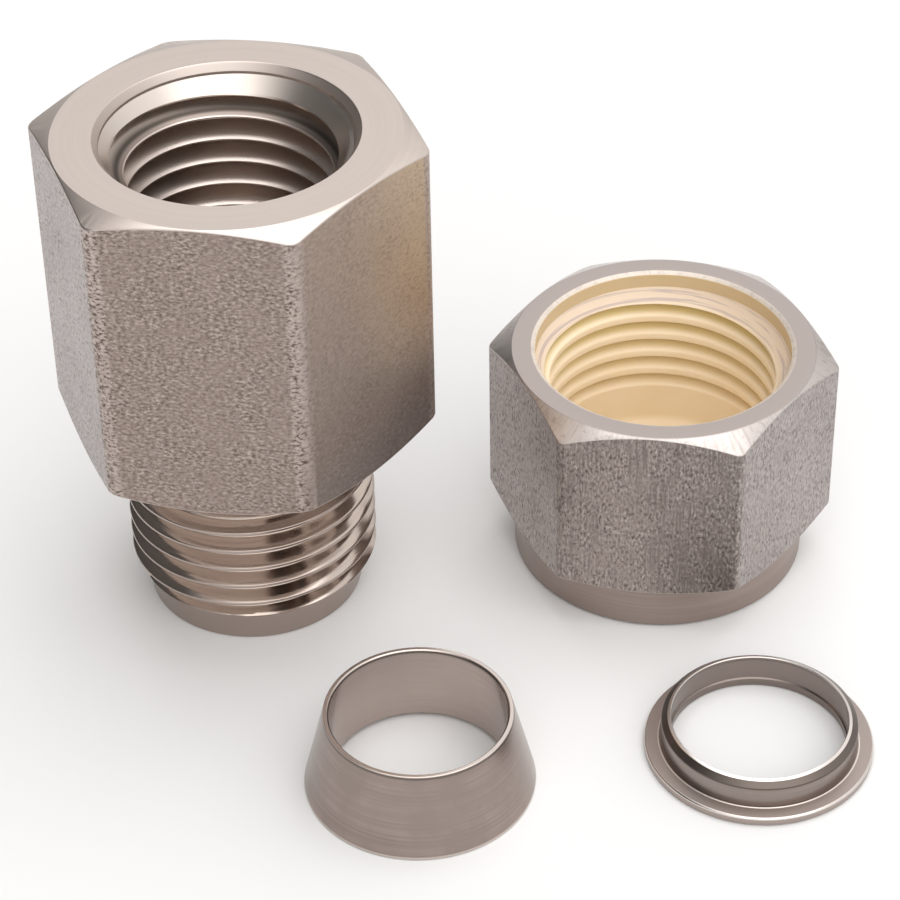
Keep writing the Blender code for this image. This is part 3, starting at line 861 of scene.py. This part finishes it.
modelFrontFerrule(turnedSteel("frontFerruleSteel", "front_ferrule", frontFerrule["turn"],
                              frontFerrule["look"]))
modelBackFerrule(turnedSteel("backFerruleSteel", "back_ferrule", backFerrule["turn"],
                             backFerrule["look"]))


# Floor, light and camera, in metres; the camera's place and lens are in millimetres

studio = {
    "floorWidth": 2.0, "floorColour": shade(0.87, 0.87, 0.87), "floorRoughness": 0.7,
    "floorSheen": 0.2,
    "skyColour": shade(1.0, 0.988, 0.975), "horizon": 0.55, "zenith": 1.12, "zenithFrom": 0.6,
    "gloomSide": (-0.92, 0.22, 0.32), "gloomEdges": (0.5, 0.8), "gloom": 0.12,
    "glowSide": (0.22, -0.68, 0.70), "glowEdges": (0.80, 0.88), "glow": 1.65,
    "lampSize": (0.4, 0.3), "lampPlace": (0.03, 0.08, 0.45), "lampRadiance": 1.5,
}
photoCamera = {
    "fromBody": (11.506, -138.505, 116.633),   # from the foot of the body's axis
    "pitch": 37.959, "roll": -1.114, "lens": 122.54, "sensor": 36, "clipStart": 0.01,
}


def layFloor():
    bm = bmesh.new()
    bmesh.ops.create_grid(bm, x_segments=2, y_segments=2, size=studio["floorWidth"] / 2)
    mesh = bpy.data.meshes.new("floor")
    bm.to_mesh(mesh)
    bm.free()
    floorPiece = bpy.data.objects.new("floor", mesh)
    bpy.context.scene.collection.objects.link(floorPiece)
    paper = Finish("floorPaper", None, 0)
    paper.set(Base_Color=studio["floorColour"], Roughness=studio["floorRoughness"],
              Specular_IOR_Level=studio["floorSheen"])
    mesh.materials.append(paper.material)


def hangLamp():
    # an overhead soft box, its power worked out from how bright it should look
    lamp = bpy.data.lights.new("overhead", "AREA")
    lamp.shape = "RECTANGLE"
    lamp.size, lamp.size_y = studio["lampSize"]
    lamp.energy = studio["lampRadiance"] * pi * lamp.size * lamp.size_y
    holder = bpy.data.objects.new("overhead", lamp)
    holder.location = studio["lampPlace"]
    bpy.context.scene.collection.objects.link(holder)


def paintSky():
    # brighter upwards and behind the camera, with a dark side to the left that metal shows
    world = bpy.data.worlds.new("studio")
    bpy.context.scene.world = world
    world.use_nodes = True
    nodes = Nodes(world.node_tree)
    toward = nodes.add("TexCoord", {}, output="Generated")

    def facing(side):
        return nodes.add("VectorMath", {0: toward, 1: studio[side]}, output="Value",
                         operation="DOT_PRODUCT")

    level = nodes.between(nodes.axis(toward, "Z"), 0.0, studio["zenithFrom"],
                          studio["horizon"], studio["zenith"])
    gloom = nodes.between(facing("gloomSide"), *studio["gloomEdges"], 1.0, studio["gloom"])
    glow = nodes.between(facing("glowSide"), *studio["glowEdges"], 1.0, studio["glow"])
    backdrop = world.node_tree.nodes["Background"]
    nodes.feed(backdrop.inputs["Color"], studio["skyColour"])
    nodes.feed(backdrop.inputs["Strength"], nodes.both(level, gloom, glow))


def aimCamera():
    lens = bpy.data.cameras.new("photoCamera")
    lens.lens = photoCamera["lens"]
    lens.sensor_width = photoCamera["sensor"]
    lens.clip_start = photoCamera["clipStart"]
    holder = bpy.data.objects.new("photoCamera", lens)
    place = axisOf("connector_body") + Vector(photoCamera["fromBody"]) * mm
    holder.matrix_world = (Matrix.Translation(place)
                           @ Matrix.Rotation(radians(90 - photoCamera["pitch"]), 4, "X")
                           @ Matrix.Rotation(radians(photoCamera["roll"]), 4, "Z"))
    bpy.context.scene.collection.objects.link(holder)
    bpy.context.scene.camera = holder


layFloor()
paintSky()
hangLamp()
aimCamera()
bpy.context.scene.view_settings.view_transform = "Standard"
print("studio set")
